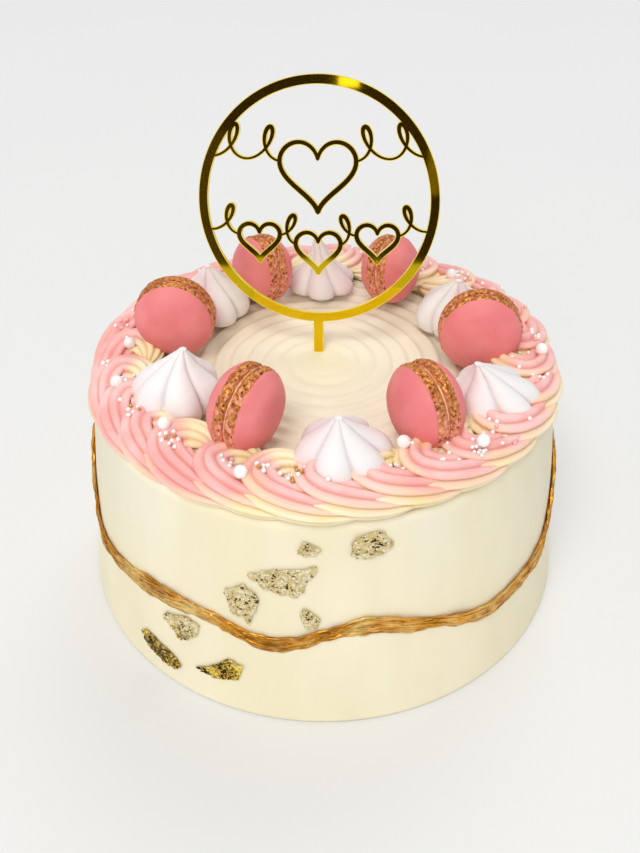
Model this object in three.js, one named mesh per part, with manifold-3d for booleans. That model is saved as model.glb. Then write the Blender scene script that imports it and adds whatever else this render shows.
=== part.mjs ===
// Birthday cake: a tall round cake in smooth cream icing. A piped two-tone border lies on its rim, macarons
// and meringue kisses stand on the border by turns, an acrylic topper is pushed into the middle, and a
// painted gold band and gold leaf are on the side. Millimetres, +Z up, origin in the middle of the base,
// front -Y.
import * as THREE from 'three';
import { mergeVertices } from 'three/addons/utils/BufferGeometryUtils.js';
import Module from 'manifold-3d';

const wasm = await Module();
wasm.setup();

// Driving dimensions of the iced cake
const BASE_RADIUS = 112; // icing at the foot
const HEIGHT = 102; // icing on top
const TAPER = 0.128; // the side leans in by this much for each millimetre of height
const EDGE_START = 96; // height where the top edge begins to round over
const GROOVE_PITCH = 7.2; // spatula grooves on the top
const GROOVE_DEPTH = 0.55;
const AROUND = 48; // facets round the cake
const GAP = 0.3; // clear space between neighbouring pieces

// Piped border
const SWIRLS = 27;
const COIL_RADIUS = 84; // distance of the swirls' coils from the axis
const ROPE_SIDES = 8;
const ROPE_STATIONS = 6;
const PEARL_RADIUS = 2.6;
const BEAD_RADIUS = 0.95;

// Painted band
const BAND_HALF = 4.3;
const BAND_PROUD = 2.2;

// Topper: a ring on a stake, leaning back, cut from one sheet
const RING_RADIUS = 50.6;
const RING_STROKE = 4.0;
const SHEET = 2.0;
const STAKE_WIDTH = 4.2;
const STAKE_VISIBLE = 14.5; // from the icing to the ring
const STAKE_BURIED = 46;
const STAKE_AT = [-2.1, 9.1];
const LEAN_BACK = 16.5; // degrees
const TOPPER_TURN = -6.5;
const TOPPER_SWING = -1.9;

const radians = THREE.MathUtils.degToRad;
const sideRadius = (z) => BASE_RADIUS - TAPER * z;
// A repeatable value from 0 to 1 for piece i and property k
const chance = (i, k) => {
  const s = Math.sin(i * 12.9898 + k * 78.233) * 43758.5453;
  return s - Math.floor(s);
};
const onCircle = (degrees, r, z) => {
  const a = radians(degrees);
  return new THREE.Vector3(r * Math.cos(a), r * Math.sin(a), z);
};

// Solids and geometries
function toSolid(geometry) {
  const g = geometry.clone();
  g.deleteAttribute('normal');
  g.deleteAttribute('uv');
  const m = mergeVertices(g, 1e-4);
  const triVerts = new Uint32Array(m.index.array);
  const p = m.attributes.position.array;
  const kept = [];
  for (let i = 0; i < triVerts.length; i += 3) {
    const [a, b, c] = [triVerts[i], triVerts[i + 1], triVerts[i + 2]];
    if (a !== b && b !== c && c !== a) kept.push(a, b, c);
  }
  const make = (tris) => new wasm.Manifold(new wasm.Mesh({
    numProp: 3, vertProperties: new Float32Array(p), triVerts: new Uint32Array(tris) }));
  let solid = make(kept);
  if (solid.volume() < 0) {
    for (let i = 0; i < kept.length; i += 3) [kept[i], kept[i + 1]] = [kept[i + 1], kept[i]];
    solid = make(kept);
  }
  return solid;
}

// Corners of one solid that only touch each other are drawn a hair back into their own surface
function partTouchingCorners(position, index) {
  const same = new Map();
  for (let i = 0; i < position.length / 3; i++) {
    const key = [0, 1, 2].map((k) => Math.round(position[3 * i + k] * 500)).join();
    same.set(key, [...(same.get(key) ?? []), i]);
  }
  const before = position.slice();
  for (const corners of [...same.values()].filter((list) => list.length > 1)) {
    for (const i of corners) {
      const around = [];
      for (let t = 0; t < index.length; t += 3) {
        const face = [index[t], index[t + 1], index[t + 2]];
        if (face.includes(i)) around.push(...face.filter((j) => j !== i));
      }
      for (let k = 0; k < 3; k++) {
        const mean = around.reduce((sum, j) => sum + before[3 * j + k], 0) / around.length;
        position[3 * i + k] += 0.04 * (mean - before[3 * i + k]);
      }
    }
  }
}

function toGeometry(solid) {
  const mesh = solid.getMesh();
  const g = new THREE.BufferGeometry();
  g.setAttribute('position', new THREE.BufferAttribute(new Float32Array(mesh.vertProperties), 3));
  g.setIndex(new THREE.BufferAttribute(new Uint32Array(mesh.triVerts), 1));
  g.computeVertexNormals();
  return g;
}

// Move every vertex of a geometry to the place that fn gives for it
function bend(geometry, fn) {
  const p = geometry.attributes.position;
  const v = new THREE.Vector3();
  for (let i = 0; i < p.count; i++) {
    const w = fn(v.fromBufferAttribute(p, i));
    p.setXYZ(i, w.x, w.y, w.z);
  }
  return geometry;
}

// After a join or a cut: drop loose crumbs and the needle-thin facets that the cut left
const largest = (solid) => solid.decompose().reduce((a, b) => (a.volume() > b.volume() ? a : b));
function cleaned(solid, coarse = 0.04) {
  const mesh = largest(solid).simplify(coarse).getMesh();
  const vertProperties = new Float32Array(mesh.vertProperties);
  partTouchingCorners(vertProperties, mesh.triVerts);
  return largest(new wasm.Manifold(new wasm.Mesh({ numProp: 3, vertProperties, triVerts: mesh.triVerts })));
}

// Icing: turned profile, rounded top edge, grooves left by the spatula on the turntable
function icingGeometry() {
  const profile = [[0, 0], [sideRadius(0) - 0.8, 0], [sideRadius(1), 1], [sideRadius(45), 45],
    [sideRadius(EDGE_START), EDGE_START], [97.8, 100.4], [94.5, HEIGHT]];
  for (let r = 66; r > 16; r -= GROOVE_PITCH / 2) {
    const depth = GROOVE_DEPTH * (0.35 + 0.65 * Math.min(1, r / 50));
    profile.push([r, HEIGHT - (Math.round((66 - r) / (GROOVE_PITCH / 2)) % 2 ? depth : 0)]);
  }
  profile.push([6, HEIGHT - 0.2], [0, HEIGHT]);
  const turned = new THREE.LatheGeometry(profile.map(([r, z]) => new THREE.Vector2(r, z)), AROUND);
  return turned.rotateX(Math.PI / 2);
}

const nearestOf = (angle, count) => ((Math.round((angle / (2 * Math.PI)) * count) % count) + count) % count;

// Gold leaf: thin torn pieces pressed on the side, given by azimuth and height of the middle and by the
// corners round it, from the left by way of the bottom
const LEAF = [
  [-93.3, 90.5, [[-4.5, -2.5], [-2, -3.5], [2.5, -3], [4.5, 0], [-2, 3.5], [-3, 1]]],
  [-80.4, 91.5, [[-8, -4], [-5.5, -6], [-2, -6.5], [7, -3.5], [8, -0.5], [5, 4], [2.5, 5.5], [-6, 4]]],
  [-99, 75, [[-13, 0.5], [-7.5, -5], [-1.5, -6.5], [5, -7.5], [8.5, -4.5], [13, 7.5], [2, 5], [-3, 4.5]]],
  [-107.6, 59.5, [[-7, 3], [-4.5, -5.5], [0.5, -6], [3, -10], [7, 3.5], [4, 8.5], [0, 10], [-7, 6]]],
  [-93.1, 57, [[-4, 1.5], [-1.5, -5], [2.5, -4.5], [4, 0], [0, 4], [-2.5, 5]]],
  [-122.8, 35, [[-9.5, 0.5], [-5.5, -2.5], [0, -7.5], [8, -0.5], [9.5, 5], [4.5, 7.5], [-7.5, 4]]],
  [-129, 14.5, [[-12, 2], [-8.5, -3], [2.5, -6], [8.5, -6], [12, -1.5], [8.5, 1.5], [1.5, 3.5], [-8.5, 6]]],
  [-113.1, 22, [[-11, -5], [-6, -6.5], [1, -6], [9, -3], [11, 4.5], [4, 6.5], [-0.5, 2], [-6, -2.5]]],
];
function leafGeometry([azimuth, height, corners]) {
  const count = corners.length;
  return bend(new THREE.CylinderGeometry(1, 1, 1, count, 1), (v) => {
    const corner = corners[nearestOf(Math.atan2(v.z, v.x) - Math.PI / 2, count)];
    const [x, y] = v.x * v.x + v.z * v.z > 0.5 ? corner : [0, 0];
    const z = height + y;
    const r = sideRadius(z) + (v.y > 0 ? 0.8 : -2);
    return onCircle(azimuth + THREE.MathUtils.radToDeg(x / sideRadius(height)), r, z);
  });
}

// Painted band: a flat rope round the side whose height wanders; azimuth and height of its middle
const BAND_PATH = [[-175, 66], [-164, 56], [-156, 43], [-148, 42.5], [-140, 45], [-131, 47.2], [-119, 48.8],
  [-112, 46.8], [-103, 42.4], [-97, 43.6], [-89, 49.7], [-80, 52.3], [-71, 48], [-62, 42.6], [-51, 37.2],
  [-40, 38.4], [-30, 39.5], [-23, 46], [-15, 58], [0, 66], [35, 59], [70, 62], [105, 57], [140, 61]];
const bandPoints = BAND_PATH.map(([azimuth, z]) => onCircle(azimuth, 100, z));
const bandCurve = new THREE.CatmullRomCurve3(bandPoints, true, 'catmullrom', 0.5);
function bandHeightTable(count) {
  const points = bandCurve.getPoints(720).map((p) => [Math.atan2(p.y, p.x), p.z]);
  return Array.from({ length: count }, (_, i) => {
    const a = (i / count) * 2 * Math.PI - Math.PI;
    const gap = (q) => Math.abs(Math.atan2(Math.sin(q[0] - a), Math.cos(q[0] - a)));
    return points.reduce((b, q) => (gap(q) < gap(b) ? q : b))[1];
  });
}
function bandGeometry() {
  const stations = 60;
  const heights = bandHeightTable(stations);
  const section = [[BAND_PROUD, 0.1], [1.5, 0.8], [GAP, 1], [GAP, -1], [1.5, -0.75]];
  return bend(new THREE.TorusGeometry(100, 1, section.length, stations), (v) => {
    const a = Math.atan2(v.y, v.x);
    const i = nearestOf(a + Math.PI, stations);
    const [proud, up] = section[nearestOf(Math.atan2(v.z, Math.hypot(v.x, v.y) - 100), section.length)];
    const half = BAND_HALF * (0.85 + 0.4 * chance(i, 3));
    const z = heights[i] + up * half + (chance(i, 5) - 0.5) * 0.9;
    const uneven = proud > 1 ? 0.5 * (chance(i, 7) - 0.5) : 0.15;
    return onCircle(THREE.MathUtils.radToDeg(a), sideRadius(z) + proud + uneven, z);
  });
}

// Piped swirl: a ridged rope that starts in a coil on the inner side, turns over the rim and tapers under the
// next one. Each row: distance along the rim, distance from the axis, height over the icing, half width.
const SWIRL_PATH = [[6.5, 76.5, 4.2, 2.6], [0.5, 75.8, 5.6, 6.0], [-6, 78.6, 6.2, 7.8], [-9, 85.2, 6.0, 8.4],
  [-4, 90.4, 5.0, 8.2], [5, 93.0, 3.2, 7.6], [15, 94.4, 1.6, 6.0], [27, 95.6, 0.6, 2.2]];
// The piping sits higher at the right front
const rimLift = (degrees) => -0.6 + 2.4 * Math.cos(radians(degrees + 45));
const swirlAzimuth = (i) => -180 + (i * 360) / SWIRLS + 2.4 * (chance(i, 1) - 0.5);

function swirlGeometry(i) {
  const azimuth = swirlAzimuth(i);
  const size = 0.94 + 0.12 * chance(i, 2);
  const out = 1.6 * (chance(i, 4) - 0.5);
  const rows = SWIRL_PATH.map(([along, r, up, half]) => {
    const degrees = azimuth + THREE.MathUtils.radToDeg((along * size) / COIL_RADIUS);
    const point = onCircle(degrees, r + out, HEIGHT + up + rimLift(degrees));
    return { point, half: half * size };
  });
  const path = new THREE.CatmullRomCurve3(rows.map((row) => row.point));
  const widths = new THREE.SplineCurve(rows.map((row, k) => new THREE.Vector2(k, row.half)));
  return bend(new THREE.CylinderGeometry(1, 1, 1, ROPE_SIDES, ROPE_STATIONS - 1), (v) => {
    const t = 0.5 - v.y;
    const centre = path.getPoint(t);
    const forward = path.getTangent(t);
    const side = new THREE.Vector3(-forward.y, forward.x, 0).normalize();
    const up = new THREE.Vector3().crossVectors(side, forward).negate();
    if (Math.hypot(v.x, v.z) < 0.5) return centre;
    const angle = Math.atan2(v.z, v.x);
    const ridge = Math.round((angle / (2 * Math.PI)) * ROPE_SIDES) % 2 ? 0.8 : 1.06;
    const half = Math.max(0.6, widths.getPoint(t).y) * ridge;
    centre.addScaledVector(side, half * Math.cos(angle));
    return centre.addScaledVector(up, 0.74 * half * Math.sin(angle));
  });
}

// Pearls by azimuth and distance from the axis, and clusters of beads with their count and spread
const PEARLS = [[177.7, 84.2], [-161.4, 88.5], [-135.5, 84.5], [-109.3, 90.5], [-72.1, 81], [-51.1, 92],
  [-5.6, 91.9], [41.9, 82], [129.1, 84]];
const BEAD_CLUSTERS = [[168, 92, 5, 3.7], [-173, 93.5, 6, 3.3], [-162, 86.5, 6, 2.8], [-148, 88, 8, 4.2],
  [-131, 87.4, 10, 4.2], [-114, 85.7, 5, 3.3], [-105, 86.6, 6, 2.3], [-98, 86.5, 14, 3.7],
  [-72, 84.5, 5, 2.8], [-53, 93, 9, 2.8], [-60, 87.4, 4, 5.6], [-45, 93, 4, 5.6], [1, 91, 6, 2.8],
  [-17, 91.6, 5, 4.2], [40, 85.8, 10, 4.7], [131, 87.7, 8, 4.2], [75, 88, 6, 4], [105, 88, 6, 4]];

// Macarons stand on edge: place of the middle, direction of the axis, tilt, radius and half thickness
const MACARONS = [
  { name: 'macaron_front_left', at: [-29.2, -56.4], axis: -28, tilt: -5.5, radius: 17.4, half: 12.4 },
  { name: 'macaron_left', at: [-64.0, 9.6], axis: -95, tilt: 2, radius: 17.3, half: 12.0 },
  { name: 'macaron_back_left', at: [-28.7, 54.0], axis: -145, tilt: 6, radius: 15.7, half: 12.2 },
  { name: 'macaron_back_right', at: [31.8, 53.0], axis: 149, tilt: -9, radius: 15.7, half: 12.0 },
  { name: 'macaron_right', at: [65.8, -2.6], axis: 87.5, tilt: -3, radius: 17.4, half: 12.0 },
  { name: 'macaron_front_right', at: [38.0, -54.9], axis: 26.7, tilt: 2, radius: 17.4, half: 12.4 },
];
const MACARON_SIDES = 12;
const FILLING_HALF = 1.5;

const turnedGeometry = (rows) => {
  const outline = rows.map(([r, z]) => new THREE.Vector2(r, z));
  return new THREE.LatheGeometry(outline, MACARON_SIDES).rotateX(Math.PI / 2);
};

// Half of a macaron: flat inner face, ruffled foot, smooth dome
function shellGeometry(radius, half, bigger = 0) {
  const flat = FILLING_HALF - bigger;
  const rows = [[0, flat], [0.95 * radius, flat], [radius, FILLING_HALF + 1.2], [0.985 * radius, 0.42 * half],
    [0.86 * radius, 0.68 * half], [0.52 * radius, 0.92 * half], [0, half]];
  const raised = (z) => z + (z > FILLING_HALF + 1 ? bigger : 0);
  return turnedGeometry(rows.map(([r, z]) => [r > 0 ? r + bigger : 0, raised(z)]));
}
function fillingGeometry(radius, bigger = 0) {
  const reach = 0.92 * radius + bigger;
  const half = FILLING_HALF - GAP + bigger;
  return turnedGeometry([[0, -half], [reach - 0.6, -half], [reach, 0], [reach - 0.6, half], [0, half]]);
}
function macaronGroup({ name, at, axis, tilt, radius, half }) {
  const group = new THREE.Group();
  const shell = shellGeometry(radius, half);
  const upper = new THREE.Mesh(shell, shellMaterial);
  const lower = new THREE.Mesh(shell, shellMaterial);
  const filling = new THREE.Mesh(fillingGeometry(radius), fillingMaterial);
  lower.rotation.x = Math.PI;
  upper.name = `${name}_shell_a`;
  lower.name = `${name}_shell_b`;
  filling.name = `${name}_filling`;
  group.add(upper, lower, filling);
  // local +Z becomes the macaron's axis, lying down along the given direction
  group.rotation.set(0, Math.PI / 2 - radians(tilt), radians(axis), 'ZYX');
  group.position.set(at[0], at[1], HEIGHT);
  group.updateMatrixWorld(true);
  const lowest = new THREE.Box3().setFromObject(group, true).min.z;
  group.position.z += HEIGHT + GAP - lowest; // it stands on the highest grooves
  group.updateMatrixWorld(true);
  return group;
}

// Meringue kisses: place of the base, place of the tip over it, half width and turn of the first lobe
const MERINGUES = [
  { name: 'meringue_front', at: [7.0, -71.0], tip: [4.8, -77.0], half: 18.6, turn: 20 },
  { name: 'meringue_left', at: [-59.5, -32.0], tip: [-54.5, -33.5], half: 18.6, turn: 52 },
  { name: 'meringue_back_left', at: [-51.0, 38.5], tip: [-51.3, 32.5], half: 16.6, turn: 0 },
  { name: 'meringue_back', at: [-0.5, 63.5], tip: [-3.0, 60.5], half: 16.2, turn: 30 },
  { name: 'meringue_back_right', at: [59.5, 27.5], tip: [58.6, 18.5], half: 17.4, turn: 14 },
  { name: 'meringue_right', at: [68.5, -37.0], tip: [57.5, -44.5], half: 18.6, turn: 8 },
];
const MERINGUE_HEIGHT = 29;
const MERINGUE_LOBES = 6;
const MERINGUE_PROFILE = [[0, 0], [0.78, 0], [1, 0.2], [0.86, 0.45], [0.4, 0.74], [0, 1]];
function meringueGeometry({ at, tip, half, turn }, bigger = 0) {
  const rows = MERINGUE_PROFILE.map(([r, z]) => new THREE.Vector2(r, z));
  const turned = new THREE.LatheGeometry(rows, MERINGUE_LOBES * 4).rotateX(Math.PI / 2);
  return bend(turned, (v) => {
    const angle = Math.atan2(v.y, v.x);
    const rise = v.z;
    const wave = Math.abs(Math.cos((MERINGUE_LOBES / 2) * (angle + 0.35 * rise)));
    const lobe = 0.72 + 0.3 * Math.sqrt(wave);
    const reach = Math.hypot(v.x, v.y);
    const r = reach * half * lobe + (reach > 0.01 ? 1.3 * bigger : 0);
    const a = angle + radians(turn);
    const shift = rise * rise;
    return new THREE.Vector3(
      at[0] + r * Math.cos(a) + (tip[0] - at[0]) * shift,
      at[1] + r * Math.sin(a) + (tip[1] - at[1]) * shift,
      HEIGHT + 1.2 - bigger + rise * (MERINGUE_HEIGHT + 2 * bigger),
    );
  });
}

// Topper, drawn flat with its own origin where the stake enters the icing, +Y up the stake, then stood up
function strokeSolid(path, count, widthAt) {
  // a pen stroke: short bars along the path, each sharing its two end corners with the next one
  const corners = Array.from({ length: count + 1 }, (_, i) => {
    const t = i / count;
    const [before, here, after] = [path(t - 1e-3), path(t), path(t + 1e-3)];
    const d = Math.hypot(after[0] - before[0], after[1] - before[1]);
    const w = widthAt(t) / d;
    const [nx, ny] = [-(after[1] - before[1]) * w, (after[0] - before[0]) * w];
    return [new THREE.Vector2(here[0] + nx, here[1] + ny), new THREE.Vector2(here[0] - nx, here[1] - ny)];
  });
  const turned = (a, b, c) => (b.x - a.x) * (c.y - b.y) - (b.y - a.y) * (c.x - b.x);
  return corners.slice(1).map((end, i) => {
    const bar = [corners[i][1], end[1], end[0], corners[i][0]];
    const turns = bar.map((q, k) => turned(q, bar[(k + 1) % 4], bar[(k + 2) % 4]));
    // at a very tight bend the corners would cross, so that bar is left out and its neighbours meet
    return Math.min(...turns) > 1e-4 ? toSolid(sheetGeometry(new THREE.Shape(bar))) : null;
  }).filter(Boolean);
}
function sheetGeometry(shape, curveSegments = 12) {
  const options = { depth: SHEET, bevelEnabled: false, curveSegments };
  return new THREE.ExtrudeGeometry(shape, options).translate(0, 0, -SHEET / 2);
}
const RING_CENTRE = STAKE_VISIBLE + RING_RADIUS - 1;
// Ornament inside the ring, from the ring's middle: outlined hearts, joined to each other and the ring by
// curls. The curls of the left half are given, and each is drawn a second time as its mirror image.
const HEARTS = [[0, 13, 15.5], [-25, -15, 8.6], [0, -19, 9.4], [25, -15, 8.6]];
const CURLS = [
  { from: [-44, 19], to: [-15, 17], loops: 2, wide: 4.6, tall: 13 },
  { from: [-45.5, -11], to: [-33, -13], loops: 1, wide: 4.0, tall: 11 },
  { from: [-16.8, -13], to: [-9, -17], loops: 1, wide: 3.4, tall: 10 },
];
const SLANT = 0.22;
function curlPath({ from, to, loops, wide, tall }, mirror) {
  return (t) => {
    const turn = 2 * Math.PI * loops * t;
    const up = (tall * (1 - Math.cos(turn))) / 2;
    const across = from[0] + (to[0] - from[0]) * t + wide * Math.sin(turn) + SLANT * up;
    return [mirror * across, RING_CENTRE + from[1] + (to[1] - from[1]) * t + up];
  };
}
function heartPath([x, y, size]) {
  return (t) => {
    const a = 2 * Math.PI * t;
    const side = Math.sin(a) ** 3 + 0.02 * Math.sin(a);
    const up = (13 * Math.cos(a) - 5 * Math.cos(2 * a) - 2 * Math.cos(3 * a) - Math.cos(4 * a)) / 16;
    return [x + size * side, RING_CENTRE + y + size * up];
  };
}
function topperSolid(bigger = 0) {
  const outer = new THREE.Shape().absarc(0, RING_CENTRE, RING_RADIUS, 0, 2 * Math.PI);
  outer.holes.push(new THREE.Path().absarc(0, RING_CENTRE, RING_RADIUS - RING_STROKE, 0, 2 * Math.PI));
  const w = STAKE_WIDTH / 2 + bigger;
  const bottom = -STAKE_BURIED - bigger;
  const stake = new THREE.BoxGeometry(2 * w, STAKE_VISIBLE + 1 - bottom, SHEET + 2 * bigger)
    .translate(0, (STAKE_VISIBLE + 1 + bottom) / 2, 0);
  if (bigger) return toSolid(stake);
  const parts = [toSolid(sheetGeometry(outer, 22)), toSolid(stake)];
  CURLS.forEach((curl) => {
    const pen = (t) => 0.7 + 0.45 * Math.sin(Math.PI * curl.loops * t) ** 2;
    parts.push(...strokeSolid(curlPath(curl, 1), curl.loops * 10, pen));
    parts.push(...strokeSolid(curlPath(curl, -1), curl.loops * 10, pen));
  });
  const heartPen = (t) => 0.95 + 0.35 * Math.sin(Math.PI * t);
  HEARTS.forEach((heart) => parts.push(...strokeSolid(heartPath(heart), 18, heartPen)));
  return cleaned(wasm.Manifold.union(parts));
}
function standTopper(solid) {
  const turn = new THREE.Matrix4().makeRotationZ(radians(TOPPER_TURN));
  const lean = new THREE.Matrix4().makeRotationX(Math.PI / 2 - radians(LEAN_BACK));
  const swing = new THREE.Matrix4().makeRotationZ(radians(TOPPER_SWING * -1));
  const place = new THREE.Matrix4().makeTranslation(STAKE_AT[0], STAKE_AT[1], HEIGHT);
  return toGeometry(solid).applyMatrix4(place.multiply(turn).multiply(lean).multiply(swing));
}

// Materials
const icingMaterial = new THREE.MeshStandardMaterial({ color: 0xf3eacb, roughness: 0.55 });
const borderMaterial = new THREE.MeshStandardMaterial({ color: 0xf4bdb4, roughness: 0.45 });
const bandMaterial = new THREE.MeshStandardMaterial({ color: 0xb87a1e, roughness: 0.35, metalness: 0.8 });
const shellMaterial = new THREE.MeshStandardMaterial({ color: 0xd9646a, roughness: 0.55 });
const fillingMaterial = new THREE.MeshStandardMaterial({ color: 0xd0a070, roughness: 0.5 });
const meringueMaterial = new THREE.MeshStandardMaterial({ color: 0xfbf7f5, roughness: 0.5 });
const mirrorMaterial = new THREE.MeshStandardMaterial({ color: 0xd9a520, roughness: 0.08, metalness: 1 });

// Toppings first, because the border and the icing are cut to make room for them
const macarons = MACARONS.map(macaronGroup);
const room = [];
MACARONS.forEach((spec, i) => {
  const matrix = macarons[i].matrixWorld;
  const shell = shellGeometry(spec.radius, spec.half, GAP);
  room.push(toSolid(shell.clone().applyMatrix4(matrix)));
  room.push(toSolid(shell.clone().rotateX(Math.PI).applyMatrix4(matrix)));
  room.push(toSolid(fillingGeometry(spec.radius, GAP).applyMatrix4(matrix)));
});
MERINGUES.forEach((spec) => room.push(toSolid(meringueGeometry(spec, GAP))));
const roomForToppings = wasm.Manifold.union(room);

const icing = toSolid(icingGeometry());
const leaves = LEAF.map((leaf) => toSolid(leafGeometry(leaf)));
const slot = toSolid(standTopper(topperSolid(GAP)));
const cakeSolid = cleaned(wasm.Manifold.union([icing, ...leaves]).subtract(slot));

// Border: all ropes joined over a low base ring, cut by the icing and the toppings, then pearls and beads
const clearOfIcing = toSolid(bend(icingGeometry(), (v) => {
  const r = Math.hypot(v.x, v.y);
  const k = r > 50 ? (r + GAP) / r : 1;
  return new THREE.Vector3(v.x * k, v.y * k, v.z + (v.z > 50 ? GAP : 0));
}));
const baseRing = bend(new THREE.TorusGeometry(COIL_RADIUS + 1, 1, 6, AROUND), (v) => {
  const r = Math.hypot(v.x, v.y);
  const offset = r - (COIL_RADIUS + 1);
  const azimuth = THREE.MathUtils.radToDeg(Math.atan2(v.y, v.x));
  return onCircle(azimuth, COIL_RADIUS + 1 + 11 * offset, HEIGHT + 1.2 + 3.4 * v.z);
});
const ropes = Array.from({ length: SWIRLS }, (_, i) => toSolid(swirlGeometry(i)));
const piping = wasm.Manifold.union([toSolid(baseRing), ...ropes]).subtract(clearOfIcing);

const pipingMesh = new THREE.Mesh(toGeometry(piping), borderMaterial);
pipingMesh.material.side = THREE.DoubleSide;
const ray = new THREE.Raycaster();
function topOfPiping(degrees, r) {
  const from = onCircle(degrees, r, HEIGHT + 60);
  ray.set(from, new THREE.Vector3(0, 0, -1));
  const hit = ray.intersectObject(pipingMesh)[0];
  return hit ? hit.point : null;
}
const decorations = [];
PEARLS.forEach(([degrees, r]) => {
  const spot = topOfPiping(degrees, r);
  if (!spot) return;
  const pearl = new THREE.IcosahedronGeometry(PEARL_RADIUS * 1.05, 0);
  decorations.push(toSolid(pearl.translate(spot.x, spot.y, spot.z + 0.5 * PEARL_RADIUS)));
});
BEAD_CLUSTERS.forEach(([degrees, r, count, spread]) => {
  for (let k = 0; k < count; k += 3) {
    const turn = k * 2.4;
    const away = spread * Math.sqrt((k + 0.4) / count);
    const across = THREE.MathUtils.radToDeg((away * Math.cos(turn)) / r);
    const spot = topOfPiping(degrees + across, r + away * Math.sin(turn));
    if (!spot) continue;
    const bead = new THREE.OctahedronGeometry(BEAD_RADIUS * 1.15, 0).rotateX(0.3 + k).rotateY(0.2 * k);
    decorations.push(toSolid(bead.translate(spot.x, spot.y, spot.z + 0.35 * BEAD_RADIUS)));
  }
});
const borderSolid = cleaned(wasm.Manifold.union([piping, ...decorations]).subtract(roomForToppings), 0.2);

// The scene
const cake = new THREE.Group();
function addMesh(name, geometry, material) {
  const mesh = new THREE.Mesh(geometry, material);
  mesh.name = name;
  cake.add(mesh);
  return mesh;
}
addMesh('cake', toGeometry(cakeSolid), icingMaterial);
addMesh('piped_border', toGeometry(borderSolid), borderMaterial);
addMesh('gold_band', toGeometry(toSolid(bandGeometry())), bandMaterial);
cake.add(...macarons);
MERINGUES.forEach((spec) => {
  addMesh(spec.name, toGeometry(toSolid(meringueGeometry(spec))), meringueMaterial);
});
addMesh('topper', standTopper(topperSolid()), mirrorMaterial);

export default cake;
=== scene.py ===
# %% [markdown]
# A birthday cake, dressed in Blender
#
# A simple solid model of the cake is already packed as a frame: every piece has its place and size there.
# This lesson gives each piece the surface that the real one has: smooth icing with spatula rings, piped
# swirls, macarons with ruffled feet, meringue kisses, sugar pearls, gold leaf, a painted band and a mirror
# topper. Sizes are written in millimetres and turned into metres when a mesh is made.

# %% Load the frame
import math
from math import cos, sin, pi, radians
import bpy
from mathutils import Matrix, Vector


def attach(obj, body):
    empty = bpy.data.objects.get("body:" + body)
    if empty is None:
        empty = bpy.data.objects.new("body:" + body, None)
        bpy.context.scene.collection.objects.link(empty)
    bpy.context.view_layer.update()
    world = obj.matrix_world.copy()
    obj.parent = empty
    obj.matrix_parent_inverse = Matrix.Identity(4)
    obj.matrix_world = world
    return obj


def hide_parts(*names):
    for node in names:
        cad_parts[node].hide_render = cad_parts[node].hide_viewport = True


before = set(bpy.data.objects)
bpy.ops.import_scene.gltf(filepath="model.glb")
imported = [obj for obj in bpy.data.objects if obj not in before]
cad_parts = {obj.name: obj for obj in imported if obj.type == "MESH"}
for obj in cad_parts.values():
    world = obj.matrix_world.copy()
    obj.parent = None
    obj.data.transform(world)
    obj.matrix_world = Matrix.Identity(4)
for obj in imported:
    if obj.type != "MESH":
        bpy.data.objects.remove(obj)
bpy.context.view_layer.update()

MM = 0.001

# %% [markdown]
# Node trees without clutter
#
# Geometry Nodes and materials are both graphs of nodes. Written out link by link they are hard to read, so
# one small class wraps a socket and lets it be used in plain sums: each sum adds a Math node. A second class
# wraps a tree and has one method that adds any other node: its settings first, then values or wires.

# %% A socket that can be used in sums
class Wire:
    def __init__(self, socket):
        self.socket = socket
        self.tree = Tree(socket.id_data)

    def also(self, name):
        """Another output of the same node."""
        return Wire(next(s for s in self.socket.node.outputs if s.enabled and s.name == name))

    def __add__(self, other): return self.tree.maths("ADD", self, other)
    def __radd__(self, other): return self.tree.maths("ADD", other, self)
    def __sub__(self, other): return self.tree.maths("SUBTRACT", self, other)
    def __rsub__(self, other): return self.tree.maths("SUBTRACT", other, self)
    def __mul__(self, other): return self.tree.maths("MULTIPLY", self, other)
    def __rmul__(self, other): return self.tree.maths("MULTIPLY", other, self)
    def __truediv__(self, other): return self.tree.maths("DIVIDE", self, other)
    def __rtruediv__(self, other): return self.tree.maths("DIVIDE", other, self)
    def __pow__(self, other): return self.tree.maths("POWER", self, other)
    def __mod__(self, other): return self.tree.maths("FLOORED_MODULO", self, other)
    def __neg__(self): return self.tree.maths("MULTIPLY", self, -1.0)
    def __abs__(self): return self.tree.maths("ABSOLUTE", self)

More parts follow.
